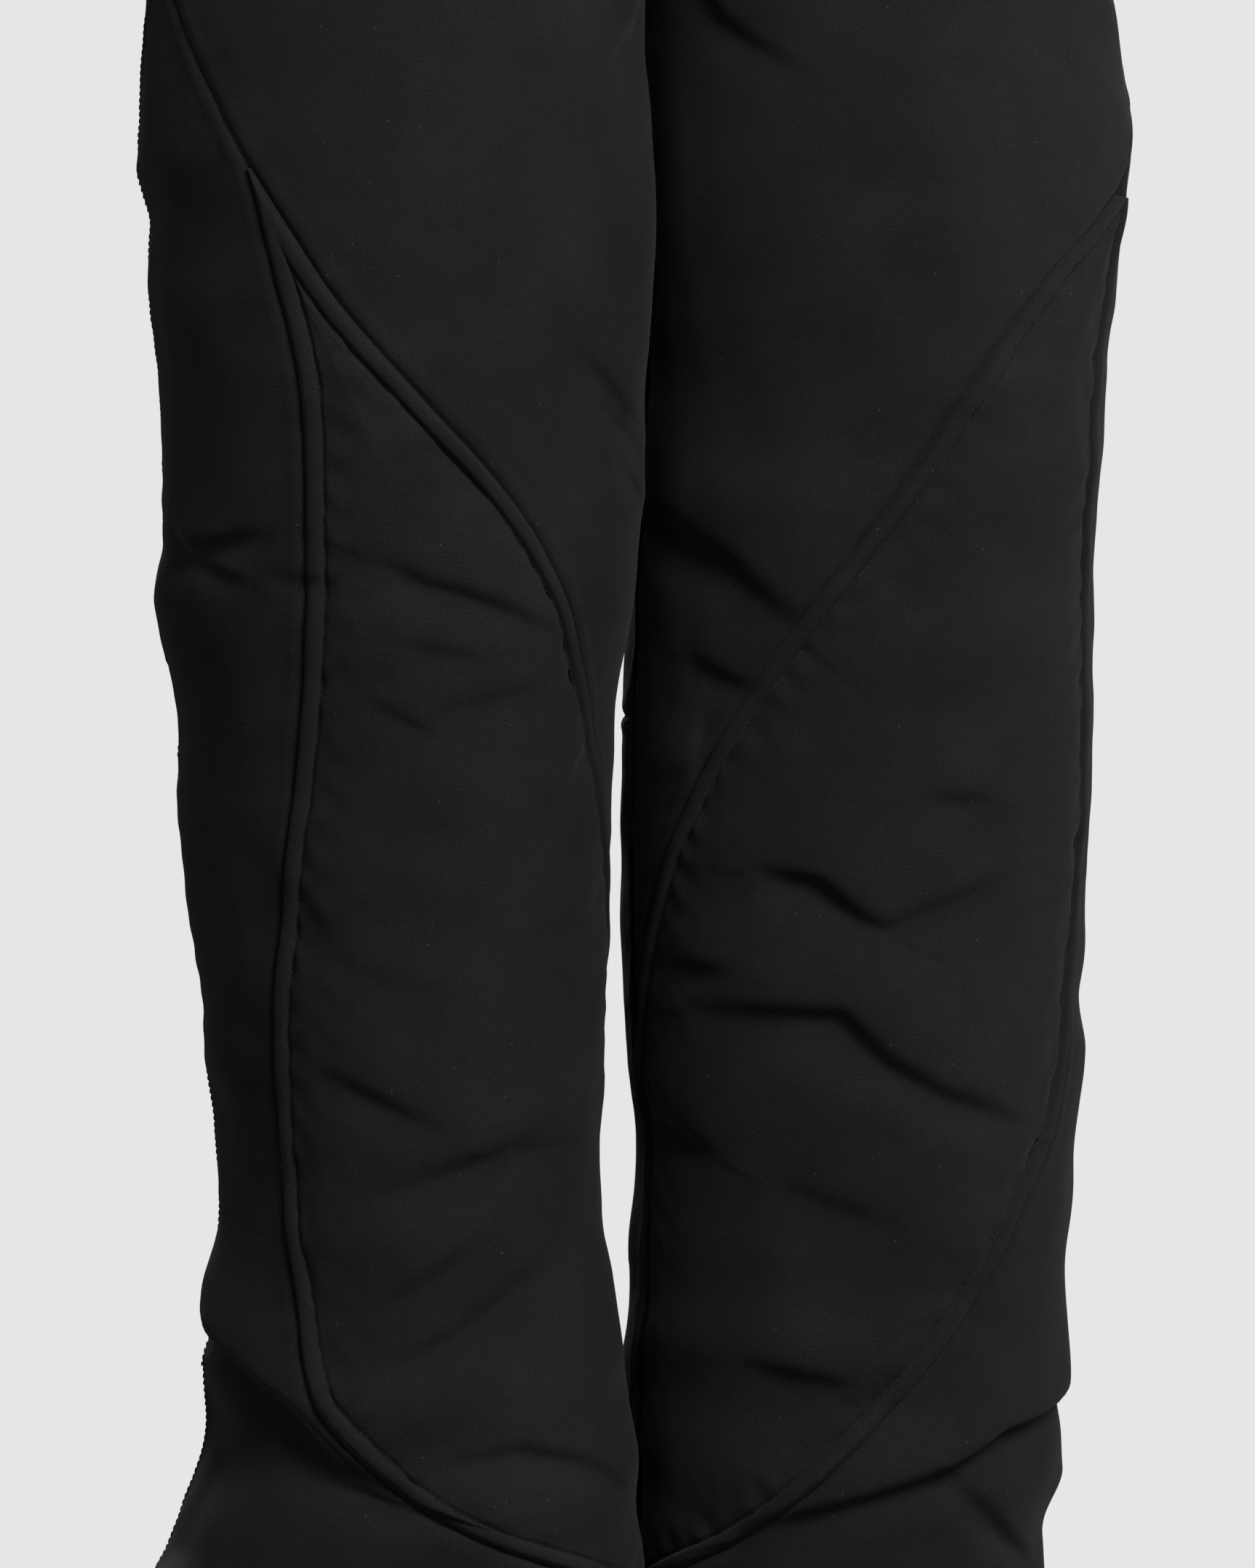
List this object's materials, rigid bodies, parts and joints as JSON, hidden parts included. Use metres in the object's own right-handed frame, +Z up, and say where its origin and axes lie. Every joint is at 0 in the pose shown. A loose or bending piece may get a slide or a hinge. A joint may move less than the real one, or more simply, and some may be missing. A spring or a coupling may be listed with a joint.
{
  "type": "ski pants",
  "caption": "Black padded ski pants in worn shape, with leaf-shaped knee panels, zipped fly and hand pockets, waist adjusters and snow cuffs.",
  "frame": {"origin": "centre of the waist opening, level with the waistband's top edge at the sides", "axes": "+Z up, -Y towards the front, +X towards the wearer's left"},
  "size_m": [0.4811, 0.2722, 1.0794],
  "materials": {
    "shell": "matt softshell weave",
    "knee_shell": "matt softshell weave over padding",
    "wadding": "soft fibre wadding",
    "lining": "smooth taffeta",
    "facing": "hard-wearing plain weave",
    "cuff": "coated plain weave",
    "elastic": "ribbed elastic",
    "hook": "moulded",
    "zip_tape": "woven tape",
    "zip_teeth": "moulded",
    "zip_metal": "black enamel",
    "snap_metal": "black enamel",
    "touch_fastener": "hook and loop pile"
  },
  "bodies": {
    "root": {"adjuster_anchors": "shell", "back_calf_left": "shell", "back_calf_right": "shell", "back_thigh_left": "shell", "back_thigh_right": "shell", "back_yoke_left": "shell", "back_yoke_right": "shell", "belt_loops": "shell", "cuff_elastic_left": "elastic", "cuff_elastic_right": "elastic", "fly_bottom_stop": "zip_metal", "fly_tape_left": "zip_tape", "fly_tape_right": "zip_tape", "fly_teeth_left": "zip_teeth", "fly_teeth_right": "zip_teeth", "front_thigh_left": "shell", "front_thigh_right": "shell", "hem_facing_left": "facing", "hem_facing_right": "facing", "knee_panel_left": "knee_shell", "knee_panel_right": "knee_shell", "knee_wadding_left": "wadding", "knee_wadding_right": "wadding", "lace_hook_left": "hook", "lace_hook_right": "hook", "lining_back_left": "lining", "lining_back_right": "lining", "lining_front_left": "lining", "lining_front_right": "lining", "loop_patch_left": "touch_fastener", "loop_patch_right": "touch_fastener", "pocket_bag_left": "lining", "pocket_bag_right": "lining", "pocket_tape_left": "zip_tape", "pocket_tape_right": "zip_tape", "pocket_teeth_left": "zip_teeth", "pocket_teeth_right": "zip_teeth", "side_panel_left": "shell", "side_panel_right": "shell", "snap_stud": "snap_metal", "snow_cuff_left": "cuff", "snow_cuff_right": "cuff", "tab_anchor": "shell", "waistband_left": "shell", "waistband_lining_left": "lining", "waistband_lining_right": "lining", "waistband_right": "shell"},
    "adjuster_left": {"adjuster_tab_left": "shell", "hook_patch_left": "touch_fastener"},
    "adjuster_right": {"adjuster_tab_right": "shell", "hook_patch_right": "touch_fastener"},
    "fly_pull": {"fly_pull": "zip_metal"},
    "fly_slider": {"fly_slider": "zip_metal"},
    "pocket_pull_left": {"pocket_pull_left": "zip_metal"},
    "pocket_pull_right": {"pocket_pull_right": "zip_metal"},
    "pocket_slider_left": {"pocket_slider_left": "zip_metal"},
    "pocket_slider_right": {"pocket_slider_right": "zip_metal"},
    "waist_tab": {"snap_cap": "snap_metal", "snap_socket": "snap_metal", "waist_tab": "shell"}
  },
  "joints": [
    {"name": "fly_zip", "type": "slide", "parent": "root", "child": "fly_slider", "axis": [0, 0, -1], "range_m": [0, 0.1]},
    {"name": "fly_pull_swing", "type": "hinge", "parent": "fly_slider", "child": "fly_pull", "pos_m": [0, -0.1128, -0.062], "axis": [-1, 0, 0], "range_deg": [0, 150]},
    {"name": "waist_tab_open", "type": "hinge", "parent": "root", "child": "waist_tab", "pos_m": [0.026, -0.1125, -0.031], "axis": [0, 0, 1], "range_deg": [0, 100]},
    {"name": "pocket_zip_right", "type": "slide", "parent": "root", "child": "pocket_slider_right", "axis": [-0.3725, 0.1495, -0.9159], "range_m": [0, 0.105]},
    {"name": "pocket_pull_swing_right", "type": "hinge", "parent": "pocket_slider_right", "child": "pocket_pull_right", "pos_m": [-0.14722, -0.06457, -0.07611], "axis": [-0.4142, 0.8564, 0.3082], "range_deg": [0, 150]},
    {"name": "adjuster_peel_right", "type": "hinge", "parent": "root", "child": "adjuster_right", "pos_m": [-0.15063, 0.0428, -0.03054], "axis": [-0.2127, 0.0502, -0.9758], "range_deg": [0, 90]},
    {"name": "pocket_zip_left", "type": "slide", "parent": "root", "child": "pocket_slider_left", "axis": [0.3724, 0.1495, -0.916], "range_m": [0, 0.105]},
    {"name": "pocket_pull_swing_left", "type": "hinge", "parent": "pocket_slider_left", "child": "pocket_pull_left", "pos_m": [0.14722, -0.06457, -0.07611], "axis": [-0.4143, -0.8564, -0.3082], "range_deg": [0, 150]},
    {"name": "adjuster_peel_left", "type": "hinge", "parent": "root", "child": "adjuster_left", "pos_m": [0.15063, 0.0428, -0.03054], "axis": [-0.2127, -0.0502, 0.9758], "range_deg": [0, 90]}
  ]
}
